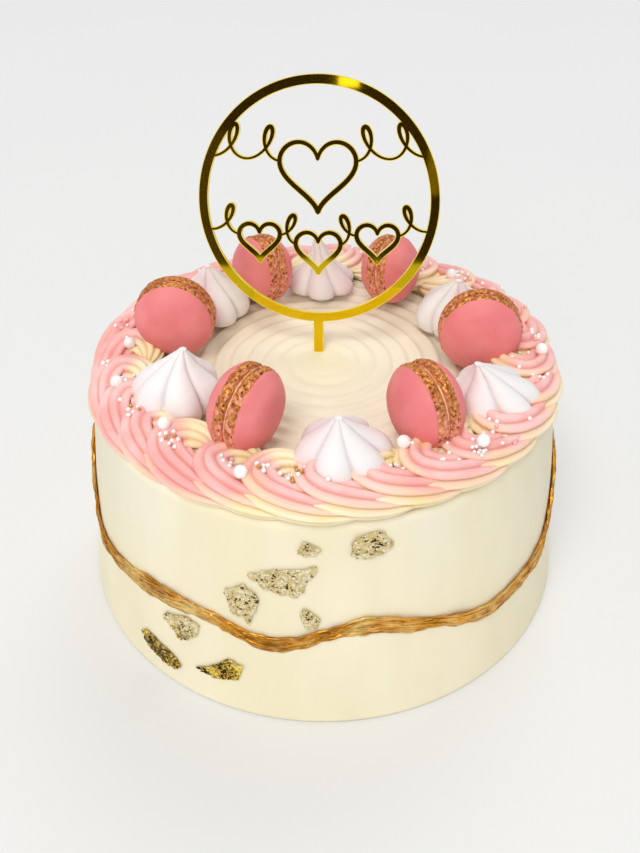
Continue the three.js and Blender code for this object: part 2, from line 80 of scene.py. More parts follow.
# %% A tree that nodes are added to
class Tree:
    def __init__(self, tree):
        self.tree = tree

    def node(self, kind, settings=None, values=None, out=0):
        """Adds a node and returns one of its outputs, by number or name."""
        made = self.tree.nodes.new(kind)
        for name, value in (settings or {}).items():
            setattr(made, name, value)
        for key, value in (values or {}).items():
            socket = made.inputs[key] if isinstance(key, int) else next(
                s for s in made.inputs if s.enabled and s.name == key)
            if isinstance(value, Wire):
                self.tree.links.new(value.socket, socket)
            else:
                socket.default_value = value
        shown = [s for s in made.outputs if s.enabled]
        return Wire(shown[out] if isinstance(out, int) else next(s for s in shown if s.name == out))

    def shape(self, kind, values=None, out=0, **settings):
        """A node of Geometry Nodes."""
        return self.node("GeometryNode" + kind, settings, values, out)

    def maths(self, operation, *values):
        return self.node("ShaderNodeMath", {"operation": operation}, dict(enumerate(values)))

    def smooth(self, value, low, high):
        """0 below low, 1 above high, an S between; low may be the larger one."""
        return self.node("ShaderNodeMapRange", {"interpolation_type": "SMOOTHSTEP"},
                         {"Value": value, "From Min": low, "From Max": high})

    def vector(self, x, y, z):
        return self.node("ShaderNodeCombineXYZ", None, {"X": x, "Y": y, "Z": z})

    def around(self, reach, turn, height):
        """The point at a distance from the axis, in a direction and at a height."""
        return self.vector(reach * self.maths("COSINE", turn), reach * self.maths("SINE", turn), height)

    def split(self, vector):
        x = self.node("ShaderNodeSeparateXYZ", None, {0: vector})
        return x, x.also("Y"), x.also("Z")

    def arrows(self, operation, first, second):
        """Vector Math with two vectors, or with a vector and the number that scales it."""
        key = "Scale" if operation == "SCALE" else 1
        return self.node("ShaderNodeVectorMath", {"operation": operation}, {0: first, key: second})

    def noise(self, at, scale, detail=2.0, rough=0.5):
        return self.node("ShaderNodeTexNoise", None,
                         {"Vector": at, "Scale": scale, "Detail": detail, "Roughness": rough})

    def position(self):
        return self.shape("InputPosition")

    def named(self, name):
        """A value stored on the geometry under this name."""
        return self.shape("InputNamedAttribute", {"Name": name})

    def store(self, geometry, name, value):
        return self.shape("StoreNamedAttribute", {
            "Geometry": geometry, "Name": name, "Value": value})

    def moved(self, geometry, **how):
        """The geometry with its points at a Position or shifted by an Offset."""
        return self.shape("SetPosition", {"Geometry": geometry, **how})

# %% [markdown]
# Running a tree on a mesh
#
# A Geometry Nodes tree can stay live as a modifier, or its result can be kept as a plain mesh. Here each
# result is kept, because the parts library stores plain meshes. A tree gets named inputs, and a modifier's
# input is set by the identifier of its socket, before the object is looked at for the first time.

# %% Start, end and run a Geometry Nodes tree
def linked(name, data):
    """A new object with this data, in the scene."""
    made = bpy.data.objects.new(name, data)
    bpy.context.collection.objects.link(made)
    return made


def new_tree(name, inputs):
    """A tree with these named inputs, {name: (kind, value)}; gives the tree and its inputs as wires."""
    group = bpy.data.node_groups.new(name, "GeometryNodeTree")
    group.interface.new_socket("Geometry", in_out="INPUT", socket_type="NodeSocketGeometry")
    for title, (kind, value) in inputs.items():
        socket = group.interface.new_socket(title, in_out="INPUT", socket_type="NodeSocket" + kind)
        if value is not None:
            socket.default_value = value
    group.interface.new_socket("Material", in_out="INPUT", socket_type="NodeSocketMaterial")
    group.interface.new_socket("Geometry", in_out="OUTPUT", socket_type="NodeSocketGeometry")
    start = group.nodes.new("NodeGroupInput")
    return Tree(group), {s.name: Wire(s) for s in start.outputs if s.name}


def end_tree(tree, geometry, wires):
    """Every tree ends the same way: instances made real, then the material set."""
    real = tree.shape("RealizeInstances", {"Geometry": geometry})
    painted = tree.shape("SetMaterial", {"Geometry": real, "Material": wires["Material"]})
    end = tree.tree.nodes.new("NodeGroupOutput")
    tree.tree.links.new(painted.socket, end.inputs["Geometry"])
    return tree.tree


def run(source, group, values, name):
    """Runs a tree on an object and keeps the result as the plain mesh of an object called name."""
    modifier = source.modifiers.new(group.name, "NODES")
    modifier.node_group = group
    for item in group.interface.items_tree:
        if item.in_out == "INPUT" and item.name in values:
            modifier[item.identifier] = values[item.name]
    evaluated = source.evaluated_get(bpy.context.evaluated_depsgraph_get())
    mesh = bpy.data.meshes.new_from_object(evaluated)
    source.modifiers.remove(modifier)
    made = linked(name, mesh)
    bpy.data.objects.remove(source)
    made.name = mesh.name = name
    return made

# %% Small helpers in plain Python
def chance(i, k):
    """A repeatable value from 0 to 1 for piece i and property k."""
    value = sin(i * 12.9898 + k * 78.233) * 43758.5453
    return value - math.floor(value)


def on_circle(azimuth, reach, height):
    """A point by its direction in degrees, its distance from the cake's axis and its height."""
    return Vector((reach * cos(radians(azimuth)), reach * sin(radians(azimuth)), height))


def lines(name, chains, closed=False, **tables):
    """An object of bare edges along each chain of points, with one value a point from each table."""
    points = [Vector(p) * MM for chain in chains for p in chain]
    edges, first = [], 0
    for chain in chains:
        edges += [(first + k, first + k + 1) for k in range(len(chain) - 1)]
        if closed:
            edges.append((first + len(chain) - 1, first))
        first += len(chain)
    mesh = bpy.data.meshes.new(name)
    mesh.from_pydata(points, edges, [])
    for title, table in tables.items():
        layer = mesh.attributes.new(title, "FLOAT", "POINT")
        layer.data.foreach_set("value", [value for row in table for value in row])
    return linked(name, mesh)


def join(name, parts):
    """Joins objects into the first one."""
    with bpy.context.temp_override(active_object=parts[0], object=parts[0],
                                   selected_objects=parts, selected_editable_objects=parts):
        bpy.ops.object.join()
    parts[0].name = parts[0].data.name = name
    return parts[0]


def between(p, q, r, s, f):
    """The value a fraction f of the way from q to r on a smooth curve through four values."""
    return 0.5 * (2 * q + (r - p) * f + (2 * p - 5 * q + 4 * r - s) * f * f
                  + (3 * q - p - 3 * r + s) * f ** 3)


def curve_through(points, count):
    """Points on a smooth curve through the given ones, each a list of numbers of any length."""
    ends = [points[0]] + points + [points[-1]]
    made = []
    for i in range(count):
        t = i / (count - 1) * (len(points) - 1)
        k = min(int(t), len(points) - 2)
        made.append([between(*four, t - k) for four in zip(*ends[k:k + 4])])
    return made


def place(piece, solid):
    """The piece belongs to the cake and stands for a solid, which is hidden."""
    piece.data.shade_smooth()
    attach(piece, "root")
    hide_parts(solid)
    piece.data.calc_loop_triangles()
    print(f"{piece.name}: {len(piece.data.loop_triangles)} triangles")

# %% [markdown]
# Materials as short sums
#
# Each finish is one function. Colours are written as they are read off a screen, 0 to 255. The pattern reads
# Object coordinates, or a value that the mesh carries, so it stays on the piece from every side.

# %% Start a material
def colour(red, green, blue):
    """Screen values to the linear ones that the renderer uses."""
    return tuple((c / 255 / 12.92) if c <= 10 else ((c / 255 + 0.055) / 1.055) ** 2.4
                 for c in (red, green, blue)) + (1.0,)


class Finish(Tree):
    """A material's tree with its one shader; fixed values are set on the shader's own sockets."""

    def __init__(self, name, **fixed):
        self.material = bpy.data.materials.new(name)
        self.material.use_nodes = True
        super().__init__(self.material.node_tree)
        self.shader = self.tree.nodes["Principled BSDF"]
        for title, value in fixed.items():
            self.shader.inputs[title.replace("_", " ")].default_value = value
        self.spot = self.node("ShaderNodeTexCoord", None, None, "Object")

    def feed(self, title, wire):
        self.tree.links.new(wire.socket, self.shader.inputs[title])

    def mix(self, mask, low, high):
        """The colour low where mask is 0, high where it is 1."""
        return self.node("ShaderNodeMix", {"data_type": "RGBA"}, {"Factor": mask, "A": low, "B": high})

    def blend(self, value, low, high, first, second):
        """Screen colours: the first where the value is below low, the second where it is above high."""
        return self.mix(self.smooth(value, low, high), colour(*first), colour(*second))

    def carried(self, name):
        """A value that the mesh carries."""
        return self.node("ShaderNodeAttribute", {"attribute_name": name}, None, "Fac")

    def bump(self, height, depth, strength=1.0):
        self.feed("Normal", self.node("ShaderNodeBump", None, {
            "Height": height, "Distance": depth * MM, "Strength": strength}))

# %% [markdown]
# The icing
#
# The cake's body is turned on a turntable, so its shape is one outline swept round an axis. Blender's Spin
# or Screw could do that. Geometry Nodes does it here as a rule: a flat grid is rolled up, each of its rows
# taking the radius and height of one point of the outline. The same tree turns the macaron shells later.

# %% A tree that turns an outline
def turning_tree():
    tree, wires = new_tree("turned on a turntable", {"Around": ("Int", 64)})
    outline = wires["Geometry"]
    rows = tree.shape("AttributeDomainSize", {"Geometry": outline}, component="MESH")
    grid = tree.shape("MeshGrid", {
        "Size X": 1.0, "Size Y": 1.0, "Vertices X": wires["Around"] + 1, "Vertices Y": rows})
    across, along, _ = tree.split(tree.position())
    row = tree.maths("ROUND", (along + 0.5) * (rows - 1))
    point = tree.shape("SampleIndex", {
        "Geometry": outline, "Value": tree.position(), "Index": row}, data_type="FLOAT_VECTOR")
    mask = tree.shape("SampleIndex", {
        "Geometry": outline, "Value": tree.named("mask"), "Index": row}, data_type="FLOAT")
    marked = tree.store(grid, "mask", mask)
    reach, _, height = tree.split(point)
    rolled = tree.moved(marked, Position=tree.around(reach, across * (2 * pi), height))
    sewn = tree.shape("MergeByDistance", {"Geometry": rolled, "Distance": 1e-6})
    return end_tree(tree, sewn, wires)


turning = turning_tree()


def turned(name, outline, around, material, mask=None):
    """A closed turned body from [radius, height] rows, listed from the bottom middle to the top middle."""
    source = lines(name, [[(r, 0, z) for r, z in outline]], mask=[mask or [0.0] * len(outline)])
    return run(source, turning, {"Around": around, "Material": material}, name)

# %% [markdown]
# Rings left by the spatula
#
# The top is smoothed with the blade held still while the table turns, and the blade creeps inwards. That
# leaves one long spiral of shallow steps. In the tree the phase is the radius over the pitch less the turn,
# so each round moves the ring by one pitch. A slow noise makes the rings fade in and out as on a real cake.

# %% A tree that draws the spiral and a gentle hand-made waviness
def spatula_tree():
    tree, wires = new_tree("spatula rings", {
        "Pitch": ("Float", 7.2 * MM), "Depth": ("Float", 1.35 * MM), "Waviness": ("Float", 0.5 * MM)})
    at = tree.position()
    x, y, z = tree.split(at)
    reach = (x * x + y * y) ** 0.5
    turn = tree.maths("ARCTAN2", y, x) / (2 * pi)
    wander = (tree.noise(at, 28.0) - 0.5) * 0.45
    phase = (reach / wires["Pitch"] - turn + wander) % 1.0
    wave = 0.5 - 0.5 * tree.maths("COSINE", (phase ** 0.62) * (2 * pi))
    strong = 0.35 + 0.65 * tree.maths("MINIMUM", reach / (50 * MM), 1.0)
    fade = tree.smooth(reach, 5 * MM, 15 * MM) * tree.smooth(tree.noise(at, 17.0), 0.24, 0.54)
    on_top = tree.smooth(z, 100.5 * MM, 101.5 * MM)
    drop = wave * strong * fade * on_top * wires["Depth"] * 1.25
    stretched = tree.arrows("MULTIPLY", at, (1, 1, 0.55))
    lean = tree.noise(stretched, 14.0, 1)
    inward = lean * wires["Waviness"] * tree.smooth(z, 0.0, 2 * MM) * (1 - on_top) / reach
    moved = tree.moved(wires["Geometry"], Offset=tree.vector(-x * inward, -y * inward, -drop))
    return end_tree(tree, moved, wires)

# %% The icing's material: pale cream, with faint smears where the scraper passed, and painted shade on the upper left of the side
def icing_finish():
    f = Finish("buttercream icing", Roughness=0.5, Specular_IOR_Level=0.35)
    x, y, z = f.split(f.spot)
    stretched = f.arrows("MULTIPLY", f.spot, (1, 1, 0.35))
    smear = f.noise(stretched, 22.0, 4, 0.55)
    fine = f.noise(stretched, 240.0, 3)
    on_top = f.smooth(z, 0.0985, 0.1015)
    side = f.blend(smear, 0.35, 0.7, (238, 228, 194), (245, 236, 208))
    # A bluish grey tint: in noisy patches it is smears, and on the upper left of the side it is painted
    # shade, where less light falls.
    cool_smear_and_shade = f.smooth(f.noise(stretched, 11.0, 2), 0.55, 0.72) * f.smooth(z, 0.045, 0.085)
    cool_smear_and_shade = cool_smear_and_shade * 0.35 + f.smooth(x, -0.03, -0.1) * f.smooth(z, 0.04, 0.085) * 0.4
    side = f.mix(cool_smear_and_shade, side, colour(226, 223, 212))
    reach = (x * x + y * y) ** 0.5
    middle = f.smooth(reach, 0.03, 0.004)
    top = f.blend(smear, 0.3, 0.7, (239, 228, 205), (245, 236, 216))
    top = f.mix(middle * 0.6, top, colour(246, 236, 200))
    f.feed("Base Color", f.mix(on_top, side, top))
    f.feed("Roughness", 0.42 + smear * 0.2)
    f.bump(fine * 0.5 + smear, 0.25, 0.35)
    return f.material


icing_cream = icing_finish()

# %% Turn the icing and draw its rings
BASE_RADIUS = 112
TAPER = 0.128    # the radius lost in each millimetre of height
HEIGHT = 102
INSET = 0.12    # keeps the waviness inside the solid model's box


def side_radius(z):
    return BASE_RADIUS - TAPER * z


def icing_outline():
    rows = [[0, 0], [40, 0], [80, 0], [105, 0], [side_radius(0) - 0.9, 0], [side_radius(0) - 0.35, 0.3]]
    rows += [[side_radius(z) - INSET, z] for z in [1.0 + 95 * k / 40 for k in range(41)]]
    rows += curve_through([[side_radius(96) - INSET, 96], [99.2, 98.3], [97.8, 100.4], [94.5, 102]], 10)[1:]
    rows += [[r, HEIGHT] for r in [94.5 - 0.9 * k for k in range(1, 105)]]
    return rows + [[0.4, HEIGHT], [0, HEIGHT]]


icing = turned("icing_body", icing_outline(), 256, icing_cream)
icing = run(icing, spatula_tree(), {"Material": icing_cream}, "icing")
place(icing, "cake")

# %% [markdown]
# The piped border
#
# Each swirl is a rope of buttercream from a star nozzle: it starts in a small coil on the inner side, turns
# over and trails along the rim, where the next swirl lies on its tail. Repeating things on a path are what
# Geometry Nodes is for: a curve is swept with a star-shaped section whose size follows the curve. The tree
# also writes down, for each point, how far along the rope it is and which side of the rope it is on, because
# two colours of cream lay side by side in the piping bag.

# %% A tree that sweeps a ridged rope along each line
def rope_tree():
    tree, wires = new_tree("ridged rope", {
        "Ridges": ("Int", 9), "Groove": ("Float", 0.42), "Points": ("Int", 81), "Stations": ("Int", 56),
        "Breadth": ("Float", 1.0), "Height": ("Float", 0.74), "Shake": ("Float", 0.3 * MM),
        "Lumps": ("Float", 120.0), "Fibres": ("Float", 0.0)})
    curve = tree.shape("MeshToCurve", {"Mesh": wires["Geometry"]})
    curve = tree.shape("CurveSplineType", {"Curve": curve}, spline_type="CATMULL_ROM")
    curve = tree.shape("ResampleCurve", {"Curve": curve, "Count": wires["Stations"]})
    curve = tree.store(curve, "along", tree.shape("SplineParameter"))
    curve = tree.shape("SetCurveNormal", {"Curve": curve}, mode="Z_UP")
    star = tree.shape("CurvePrimitiveCircle", {"Resolution": wires["Points"], "Radius": 1.0})
    x, y, _ = tree.split(tree.position())
    angle = tree.maths("ARCTAN2", y, x)
    lobe = abs(tree.maths("COSINE", angle * wires["Ridges"] / 2)) ** 0.6
    size = 1.06 - wires["Groove"] * (1 - lobe)
    for title, value in (("outer", x), ("upper", -y), ("ridge", lobe)):
        star = tree.store(star, title, value)
    x, y = x * size * wires["Breadth"], y * size * wires["Height"]
    star = tree.moved(star, Position=tree.vector(x, y, 0.0))
    rope = tree.shape("CurveToMesh", {
        "Curve": curve, "Profile Curve": star, "Scale": tree.named("half"), "Fill Caps": True})
    x, y, z = tree.split(tree.position())
    across = tree.named("upper") * wires["Fibres"]
    lumps = wires["Lumps"]
    shake = tree.noise(tree.vector(x * lumps, y * lumps, z * lumps + across), 1.0).also("Color")
    shake = tree.arrows("SUBTRACT", shake, (0.5, 0.5, 0.5))
    rope = tree.moved(rope, Offset=tree.arrows("SCALE", shake, wires["Shake"]))
    return end_tree(tree, rope, wires)


rope = rope_tree()

# %% The border's material: pink and cream side by side, with painted shade in the grooves
def piping_finish():
    f = Finish("two-tone buttercream", Roughness=0.4, Specular_IOR_Level=0.4)
    x, y, _ = f.split(f.spot)
    outer, upper, along = f.carried("outer"), f.carried("upper"), f.carried("along")
    streak = f.noise(f.spot, 60.0, 3)
    swirl = f.noise(f.spot, 24.0, 1)
    right = f.smooth(x - y * 0.4, -0.04, 0.045)
    level = upper * 0.85 - outer * 0.1 - right * (outer * 0.2 + 0.3)
    level = level + (streak - 0.5) + (swirl - 0.5) * 1.5
    start = f.smooth(along, 0.16, 0.3)
    cream = f.blend(streak, 0.3, 0.7, (247, 228, 176), (251, 238, 204))
    peach = f.blend(streak, 0.3, 0.7, (248, 208, 176), (251, 222, 196))
    rose = f.blend(streak, 0.35, 0.7, (243, 174, 168), (250, 202, 196))
    shade = f.mix(f.smooth(level, -0.6, -0.2) * start, cream, peach)
    shade = f.mix(f.smooth(level, -0.15, 0.35) * start, shade, rose)
    # The grooves between the ridges take darker tones: painted shade.
    groove_shade = f.smooth(f.carried("ridge"), 0.05, 0.72)
    deep = f.mix(f.smooth(level, -0.4, 0.2) * start, colour(228, 188, 126), colour(226, 138, 124))
    f.feed("Base Color", f.mix(groove_shade, deep, shade))
    f.bump(f.noise(f.spot, 420.0, 3), 0.2, 0.3)
    return f.material


two_tone_cream = piping_finish()

# %% Lay the swirls round the rim
SWIRLS = 27
COIL_RADIUS = 84    # from the cake's axis to the middle of a coil
# one row a station: distance along the rim, distance from the axis, height over the icing, half width
SWIRL_PATH = [[6.5, 76.5, 4.2, 2.6], [0.5, 75.8, 5.6, 6.0], [-6, 78.6, 6.2, 7.8], [-9, 85.2, 6.0, 8.4],
              [-4, 90.4, 5.0, 8.2], [5, 93.0, 3.2, 7.6], [15, 94.4, 1.6, 6.0], [27, 95.6, 0.6, 2.2]]


def rim_lift(azimuth):
    return -0.6 + 2.4 * cos(radians(azimuth + 45))


def swirl(i):
    azimuth = -180 + i * 360 / SWIRLS + 2.4 * (chance(i, 1) - 0.5)
    size = 0.94 + 0.12 * chance(i, 2)
    out = 1.6 * (chance(i, 4) - 0.5)
    path, halves = [], []
    for along, reach, up, half in SWIRL_PATH:
        turn = azimuth + math.degrees(along * size / COIL_RADIUS)
        path.append(on_circle(turn, reach + out, HEIGHT + up + rim_lift(turn)))
        halves.append(half * size * MM)
    return path, halves


swirls = [swirl(i) for i in range(SWIRLS)]
source = lines("piping_lines", [path for path, _ in swirls], half=[halves for _, halves in swirls])
ropes = run(source, rope, {"Material": two_tone_cream}, "piping_ropes")
bed_outline = [[COIL_RADIUS + 1 + 10.5 * cos(a), 103.0 + 3.2 * sin(a)] for a in
               [-pi + 2 * pi * k / 16 for k in range(17)]]
bed = turned("piping_bed", bed_outline, 128, two_tone_cream)
piping = join("piping", [ropes, bed])
place(piping, "piped_border")

# %% [markdown]
# Sugar pearls and beads
#
# They are dropped by hand and stay where they touch the cream. The Raycast node does the dropping: each
# point looks straight down at the piping and moves to what it hits. Instance on Points then puts one small
# ball on each point, and a colour number travels from the point to the ball.

# %% A tree that drops balls on the piping
def dropping_tree():
    tree, wires = new_tree("dropped balls", {
        "Ground": ("Object", None), "Sink": ("Float", 0.4), "Rings": ("Int", 6)})
    ground = tree.shape("ObjectInfo", {"Object": wires["Ground"]}, "Geometry")
    hit = tree.shape("Raycast", {"Target Geometry": ground, "Ray Direction": (0, 0, -1),
                                                  "Ray Length": 1.0})
    size = tree.named("size")
    points = tree.shape("DeleteGeometry", {
        "Geometry": wires["Geometry"], "Selection": 1 - hit})
    lift = tree.vector(0.0, 0.0, size * (1 - wires["Sink"]))
    points = tree.moved(points, Position=hit.also("Hit Position"), Offset=lift)
    ball = tree.shape("MeshUVSphere", {
        "Segments": wires["Rings"] * 2, "Rings": wires["Rings"], "Radius": 1.0})
    ball = tree.shape("SetShadeSmooth", {"Geometry": ball})
    balls = tree.shape("InstanceOnPoints", {
        "Points": points, "Instance": ball, "Scale": size})
    return end_tree(tree, balls, wires)


dropping = dropping_tree()

# %% Materials of the sugar balls
def sugar_finish(name, gloss):
    f = Finish(name, Roughness=gloss, Coat_Weight=0.6, Coat_Roughness=0.12)
    tint = f.carried("tint")
    white = f.blend(f.noise(f.spot, 260.0), 0.3, 0.7, (246, 240, 236), (255, 252, 250))
    pink = f.mix(f.smooth(tint, 0.3, 0.36), white, colour(244, 186, 176))
    gold = f.mix(f.smooth(tint, 0.62, 0.68), pink, colour(214, 160, 84))
    f.feed("Base Color", gold)
    f.feed("Metallic", f.smooth(tint, 0.62, 0.68) * 0.55)
    return f.material


pearl_sugar = sugar_finish("pearl sugar", 0.22)
bead_sugar = sugar_finish("sugar beads", 0.3)

# %% Drop the pearls and the clusters of beads
DROP_HEIGHT = 160
PEARL_RADIUS = 2.6
SINGLE_BEADS = 60
# azimuth and distance from the axis; a cluster also has its count of beads and its spread
PEARLS = [[177.7, 84.2], [-161.4, 88.5], [-135.5, 84.5], [-109.3, 90.5], [-68, 77], [-51.1, 92],
          [-5.6, 91.9], [41.9, 82], [129.1, 84]]
BEAD_CLUSTERS = [[168, 92, 5, 3.7], [-173, 93.5, 6, 3.3], [-162, 86.5, 6, 2.8], [-148, 88, 8, 4.2],
                 [-131, 87.4, 10, 4.2], [-114, 85.7, 5, 3.3], [-105, 86.6, 6, 2.3], [-98, 86.5, 14, 3.7],
                 [-72, 84.5, 5, 2.8], [-53, 93, 9, 2.8], [-60, 87.4, 4, 5.6], [-45, 93, 4, 5.6],
                 [1, 91, 6, 2.8], [-17, 91.6, 5, 4.2], [40, 85.8, 10, 4.7], [131, 87.7, 8, 4.2],
                 [75, 88, 6, 4], [105, 88, 6, 4]]


def dropped(name, spots, sizes, tints, material, rings):
    source = lines(name + "_spots", [[spot] for spot in spots], size=[sizes], tint=[tints])
    return run(source, dropping, {"Ground": piping, "Rings": rings, "Material": material}, name)


spots = [on_circle(a, r, DROP_HEIGHT) for a, r in PEARLS]
pearls = dropped("pearls", spots, [PEARL_RADIUS * MM] * len(spots), [0.0] * len(spots), pearl_sugar, 16)
place(pearls, "piped_border")

spots, sizes, tints = [], [], []
for c, (azimuth, reach, count, spread) in enumerate(BEAD_CLUSTERS):
    for k in range(count):
        away = spread * math.sqrt((k + 0.4) / count)
        across = math.degrees(away * cos(2.4 * k) / reach)
        spots.append(on_circle(azimuth + across, reach + away * sin(2.4 * k), DROP_HEIGHT))
        golden = 0.45 if azimuth in (-148, -98, -131) else 0.06
        tints.append(1.0 if chance(k, 31 + c) < golden else 0.5 if chance(k, 41 + c) < 0.22 else 0.0)
for k in range(SINGLE_BEADS):
    spots.append(on_circle(360 * chance(k, 71), 79 + 17 * chance(k, 72), DROP_HEIGHT))
    tints.append(0.5 if k % 5 == 0 else 0.0)
sizes = [(0.72 + 0.26 * chance(k, 11)) * MM for k in range(len(spots))]
beads = dropped("beads", spots, sizes, tints, bead_sugar, 6)
place(beads, "piped_border")

# %% [markdown]
# Macarons
#
# A macaron shell is a smooth dome over a ruffled foot, where the batter rose and set. The dome is turned
# from its outline with the same tree as the icing. The foot is then roughened along its own normals, by
# coarse lumps and small pits, only where the outline is marked as foot. Gold dust is brushed on the feet.

# %% A tree that ruffles the feet
def ruffle_tree():
    tree, wires = new_tree("ruffled foot", {"Depth": ("Float", 0.9 * MM), "Seed": ("Float", 0.0)})
    at = tree.position()
    seeded = tree.arrows("ADD", at, wires["Seed"])
    mask = tree.named("mask")
    lumps = tree.noise(seeded, 480.0, 3, 0.65) - 0.5
    pits = tree.node("ShaderNodeTexVoronoi", None, {"Vector": seeded, "Scale": 640.0})
    pits = tree.smooth(pits, 0.46, 0.16)
    push = (lumps * 2.2 - pits * 0.9) * mask * wires["Depth"]
    offset = tree.arrows("SCALE", tree.shape("InputNormal"), push)
    pitted = tree.store(wires["Geometry"], "pits", pits * mask)
    moved = tree.moved(pitted, Offset=offset)
    return end_tree(tree, moved, wires)


ruffle = ruffle_tree()

# %% Macaron materials, with painted shade in the pits of the feet
def shell_finish():
    f = Finish("macaron crust", Roughness=0.55, Specular_IOR_Level=0.4)
    foot, pits = f.carried("mask"), f.carried("pits")
    speck = f.smooth(f.noise(f.spot, 900.0, 2), 0.66, 0.74)
    cloud = f.noise(f.spot, 60.0, 3)
    dome = f.blend(cloud, 0.3, 0.7, (230, 124, 124), (238, 140, 139))
    dome = f.mix(speck * 0.25, dome, colour(196, 84, 86))
    z = f.split(f.spot)[2]
    dust = f.noise(f.spot, 420.0, 3) + (z - 0.123) * 15.0
    dust = f.smooth(dust, 0.44, 0.64) * f.smooth(foot, 0.35, 0.8)
    crumb = f.blend(f.noise(f.spot, 700.0), 0.35, 0.65, (216, 116, 92), (240, 168, 138))
    gold = f.blend(f.noise(f.spot, 800.0, 2), 0.35, 0.65, (172, 94, 40), (226, 154, 82))
    rough = f.mix(dust, crumb, gold)
    # The pits of the foot are coloured dark red-brown: painted shade.
    rough = f.mix(f.smooth(pits, 0.4, 0.8), rough, colour(104, 30, 20))
    f.feed("Base Color", f.mix(f.smooth(foot, 0.3, 0.7), dome, rough))
    f.feed("Metallic", dust * (1 - f.smooth(pits, 0.4, 0.8)) * 0.5)
    f.feed("Roughness", 0.55 - dust * 0.15)
    f.bump(f.noise(f.spot, 900.0, 3), 0.15, 0.35)
    return f.material


def filling_finish():
    f = Finish("macaron ganache", Roughness=0.45)
    streak = f.noise(f.spot, 380.0, 3)
    f.feed("Base Color", f.blend(streak, 0.35, 0.65, (222, 150, 92), (246, 208, 158)))
    f.feed("Metallic", f.smooth(streak, 0.6, 0.7) * 0.3)
    f.bump(streak, 0.3, 0.5)
    return f.material


crust, ganache = shell_finish(), filling_finish()

# %% Bake six macarons and stand them on edge
# name, place of the middle, direction of the axis, tilt, radius, half thickness
MACARONS = [
    ["front_left", (-29.2, -56.4), -28, -5.5, 17.4, 12.4], ["left", (-64.0, 9.6), -95, 2, 17.3, 12.0],
    ["back_left", (-28.7, 54.0), -145, 6, 15.7, 12.2], ["back_right", (31.8, 53.0), 149, -9, 15.7, 12.0],
    ["right", (65.8, -2.6), 87.5, -3, 17.4, 12.0], ["front_right", (38.0, -54.9), 26.7, 2, 17.4, 12.4]]


def shell_outline(radius, half):
    """Flat inside, foot, crease, dome: rows of [radius, height] and how much of each row is foot."""
    foot = curve_through([[0.945 * radius, 0.55], [0.98 * radius, 0.9], [radius, 2.1], [0.99 * radius, 3.7],
                          [0.965 * radius, 4.8]], 25)
    dome = curve_through([[0.952 * radius, 4.95], [0.955 * radius, 0.44 * half], [0.87 * radius, 0.59 * half],
                          [0.68 * radius, 0.82 * half], [0.4 * radius, 0.95 * half], [0, half]], 28)
    inside = [[0, 0.55], [0.5 * radius, 0.55], [0.9 * radius, 0.55]]
    marks = [0.0, 0.0, 0.3] + [0.6] + [1.0] * 23 + [0.6] + [0.15] + [0.0] * 27
    return inside + foot + dome, marks


def stand(pieces, at, axis, tilt):
    """Lays the macaron's axis down along its direction and rests it on the highest rings."""
    turn = Matrix.Rotation(radians(axis), 4, "Z") @ Matrix.Rotation(pi / 2 - radians(tilt), 4, "Y")
    for piece in pieces:
        piece.data.transform(turn)
    lowest = min(v.co.z for piece in pieces for v in piece.data.vertices)
    move = Matrix.Translation((at[0] * MM, at[1] * MM, (HEIGHT + 0.3) * MM - lowest))
    for piece in pieces:
        piece.data.transform(move)


for m, (name, at, axis, tilt, radius, half) in enumerate(MACARONS):
    outline, marks = shell_outline(radius, half)
    shells = []
    for s, letter in enumerate("ab"):
        shell = turned(f"shell_{letter}", outline, 176, crust, marks)
        shell = run(shell, ruffle, {"Seed": 0.3 * m + 0.13 * s, "Material": crust},
                    f"macaron_{name}_top_{letter}")
        if letter == "b":
            shell.data.transform(Matrix.Rotation(pi, 4, "X"))
        shells.append(shell)
    reach = 0.935 * radius
    ring = [[0, -0.5], [reach - 1, -0.5], [reach - 0.2, -0.4], [reach, 0], [reach - 0.2, 0.4],
            [reach - 1, 0.5], [0, 0.5]]
    filling = turned(f"macaron_{name}_cream", ring, 96, ganache)
    stand(shells + [filling], at, axis, tilt)
    for shell, letter in zip(shells, "ab"):
        place(shell, f"macaron_{name}_shell_{letter}")
    place(filling, f"macaron_{name}_filling")

# %% [markdown]
# Meringue kisses
#
# A kiss is piped straight up with a large star nozzle and pulled off into a tip. Its shape is a rule again:
# a turned outline whose radius swings in and out six times round, twisted a little as it rises, with the
# tip pulled over to one side.

# %% A tree that presses lobes into a turned body
def lobe_tree():
    tree, wires = new_tree("piped lobes", {
        "Lobes": ("Float", 6.0), "Twist": ("Float", 0.35), "Half width": ("Float", 18 * MM),
        "Height": ("Float", 29 * MM), "Turn": ("Float", 0.0), "Foot": ("Vector", (0, 0, 0)),
        "Pull": ("Vector", (0, 0, 0))})
    x, y, rise = tree.split(tree.position())
    rise = rise / MM
    reach = ((x * x + y * y) ** 0.5) / MM
    angle = tree.maths("ARCTAN2", y, x)
    wave = abs(tree.maths("COSINE", (angle + wires["Twist"] * rise) * wires["Lobes"] / 2))
    lobe = 0.7 + 0.32 * (wave * wave + 0.0009) ** 0.22
    radius = reach * lobe * wires["Half width"]
    pull = tree.arrows("SCALE", wires["Pull"], rise * rise)
    body = tree.around(radius, angle + wires["Turn"], rise * wires["Height"])
    position = tree.arrows("ADD", tree.arrows("ADD", body, wires["Foot"]), pull)
    valley = tree.store(wires["Geometry"], "lobe", wave)
    moved = tree.moved(valley, Position=position)
    return end_tree(tree, moved, wires)


lobes = lobe_tree()

